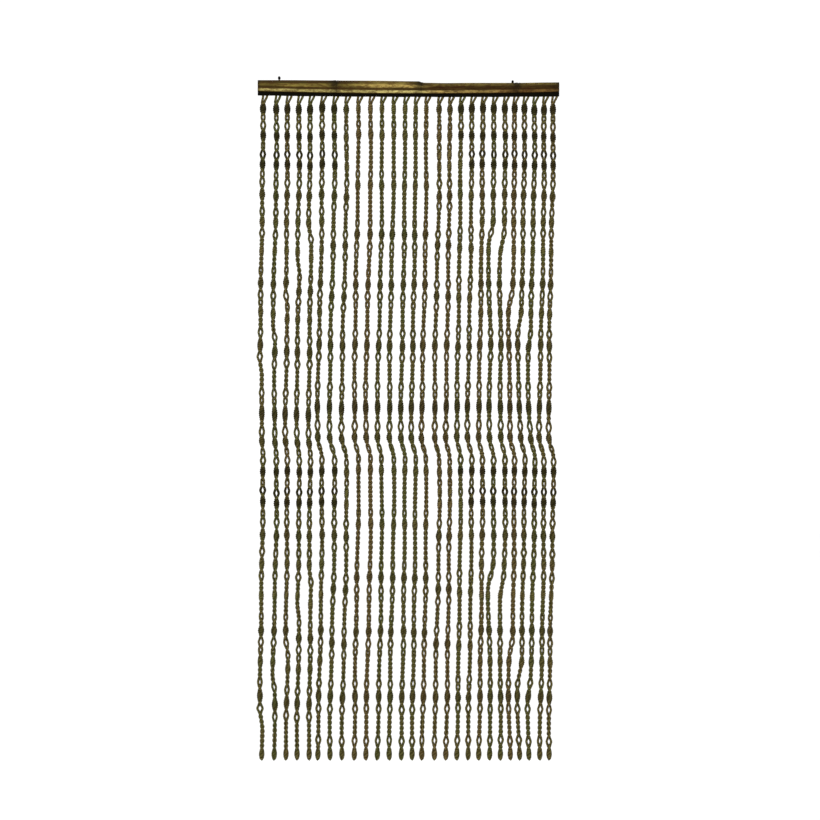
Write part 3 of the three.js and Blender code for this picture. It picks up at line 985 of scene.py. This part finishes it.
def node_swelling(x):
    """Raised ring and sheath scar of each node of the cane, and the dark of the scar."""
    swelling, scar = 0.0, 0.0
    for node in CANE_NODES:
        away = x + RAIL_LENGTH / 2 - node
        swelling += ring_at(NODE_RING, away) + ring_at(SHEATH_RING, away)
        swelling -= ring_at(SHEATH_GROOVE, away)
        scar += ring_at(GROOVE_STAIN, away) + ring_at(NODE_STAIN, away)
    return swelling, min(scar, 1.0)


def make_rail():
    """Split cane with its nodes, and masks for the stains and the bands of colour."""
    half = RAIL_LENGTH / 2
    about_node = np.linspace(NODE_STATIONS["first"], NODE_STATIONS["last"], NODE_STATIONS["count"])
    stations = set(np.linspace(-half, half, RAIL_STATIONS))
    for node in CANE_NODES:
        stations.update(node - half + about_node)
    stations = sorted(stations)
    along = [row["along"] - half for row in RAIL_SECTIONS]
    points, scars, levels, depths = [], [], [], []
    for x in stations:
        crown = np.interp(x, along, [row["crown"] for row in RAIL_SECTIONS])
        depth = np.interp(x, along, [row["depth"] for row in RAIL_SECTIONS])
        swelling, scar = node_swelling(x)
        foot = RAIL_UNDERSIDE - bow(RAIL_BOW, x)
        section = cane_section(crown, depth, foot, swelling)
        y, z = section.T
        wander = waviness(RAIL_WANDER, x, [z / row["height"] for row in RAIL_WANDER])
        y = y + np.where(y < -1, wander, 0.0)
        points.append(np.stack([np.full(len(section), x), y, z], axis=1))
        either_end = smooth_step(1 - (half - abs(x)) / END_STAIN_REACH)
        right_end = smooth_step(1 - (half - x) / RIGHT_STAIN_REACH)
        end = max(either_end, RIGHT_STAIN_SHARE * right_end)
        scars.append(np.full(len(section), max(scar, end)))
        levels.append(z - foot)
        depths.append(crown - z)
    faces = prism_faces(len(stations), len(points[0]))
    rail = make_piece("bamboo_rail", np.concatenate(points), faces, BAMBOO_FINISH,
                      masks={"scar": np.concatenate(scars), "level": np.concatenate(levels) * MM,
                             "below_crown": np.concatenate(depths) * MM})
    rail.data.set_sharp_from_angle(angle=SHARPEST_SMOOTHED)
    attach(rail, "root")
    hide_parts("header_rail")


# Screw eyes

def make_screw_eye(row):
    """Bent wire: a shank that runs up into an almost closed ring."""
    ring_height = row["rail_top"] + row["stand"] - EYE_RING_RADIUS - EYE_WIRE_RADIUS
    ring_foot = ring_height - EYE_RING_RADIUS
    turn = np.radians(np.linspace(EYE_RING_TURN["first"], EYE_RING_TURN["last"],
                                  EYE_RING_TURN["samples"]))
    face = math.radians(row["turn"])
    side = EYE_RING_RADIUS * np.cos(turn)
    ring = np.stack([
        row["x"] + side * math.cos(face),
        EYE_Y + side * math.sin(face),
        ring_height + EYE_RING_RADIUS * np.sin(turn),
    ], axis=1)
    shank_foot = row["rail_top"] - EYE_SHANK_DEPTH
    shank_z = np.linspace(shank_foot, ring_foot - EYE_SHANK_END, EYE_SHANK_SAMPLES)
    shank_x = np.full_like(shank_z, row["x"])
    shank_y = np.full_like(shank_z, EYE_Y)
    shank = np.stack([shank_x, shank_y, shank_z], axis=1)
    bend = np.asarray([[
        row["x"] + EYE_BEND["side"] * math.cos(face),
        EYE_Y + EYE_BEND["side"] * math.sin(face),
        ring_foot - EYE_BEND["below"],
    ]])
    path = np.concatenate([shank, bend, ring[EYE_BEND["samples"]:]])
    outward = np.tile([math.sin(face), -math.cos(face), 0.0], (len(path), 1))
    radii = np.full(len(path), EYE_WIRE_RADIUS)
    points, faces, lay = tube(path, outward, radii, EYE_WIRE_SIDES)
    name = row["node"].replace("screw_eye", "wire_eye")
    eye = make_piece(name, points, faces, STEEL_FINISH, uvs=lay)
    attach(eye, "root")
    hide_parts(row["node"])


# Studio

def make_floor():
    spread = np.linspace(-FLOOR_HALF, FLOOR_HALF, FLOOR_STEPS + 1)
    level = STRIP_UNDERSIDE - STRAND_LENGTH - FLOOR_BELOW_STRANDS
    points = [(x, y, level) for y in spread for x in spread]
    faces = []
    for row in range(FLOOR_STEPS):
        for side in range(FLOOR_STEPS):
            corner = row * (FLOOR_STEPS + 1) + side
            behind = corner + FLOOR_STEPS + 1
            faces.append([corner, corner + 1, behind + 1, behind])
    floor = make_piece("studio_floor", points, faces, FLOOR_FINISH)


def add_area_light(name, place, aim, size, power):
    light = bpy.data.lights.new(name, "AREA")
    light.shape = "DISK"
    light.size = size
    light.energy = power
    lamp = bpy.data.objects.new(name, light)
    lamp.location = place
    lamp.rotation_euler = (Vector(aim) - Vector(place)).to_track_quat("-Z", "Y").to_euler()
    bpy.context.collection.objects.link(lamp)


def light_studio():
    """Even white surroundings with a key light from the left and a weak fill from the right."""
    world = bpy.data.worlds.new("white_studio")
    world.use_nodes = True
    backdrop = world.node_tree.nodes["Background"]
    backdrop.inputs["Color"].default_value = (1.0, 1.0, 1.0, 1.0)
    backdrop.inputs["Strength"].default_value = BACKDROP_STRENGTH
    bpy.context.scene.world = world
    add_area_light("key_light", place=(-2.5, -5.0, 2.2), aim=(0, 0, -0.9), size=2.5, power=90)
    add_area_light("fill_light", place=(3.5, -4.5, -0.5), aim=(0, 0, -1.0), size=3.0, power=25)


def place_camera():
    """Level camera in front of the curtain with a long lens."""
    lens = bpy.data.cameras.new("front_camera")
    lens.sensor_width = SENSOR_WIDTH
    lens.sensor_fit = "HORIZONTAL"
    lens.lens = SENSOR_WIDTH * CAMERA_DISTANCE / VIEW_WIDTH
    lens.clip_end = CAMERA_REACH
    camera = bpy.data.objects.new("front_camera", lens)
    camera.location = (CAMERA_X, STRAND_Y * MM - CAMERA_DISTANCE, CAMERA_Z)
    camera.rotation_euler = (math.radians(90), 0, 0)
    bpy.context.collection.objects.link(camera)
    bpy.context.scene.camera = camera


roots = strand_roots()
for number, root in enumerate(roots):
    make_strand(number, root, len(roots))
make_heading_strip()
make_rail()
for row in SCREW_EYES:
    make_screw_eye(row)
make_floor()
light_studio()
place_camera()
bpy.context.scene.view_settings.view_transform = "Standard"
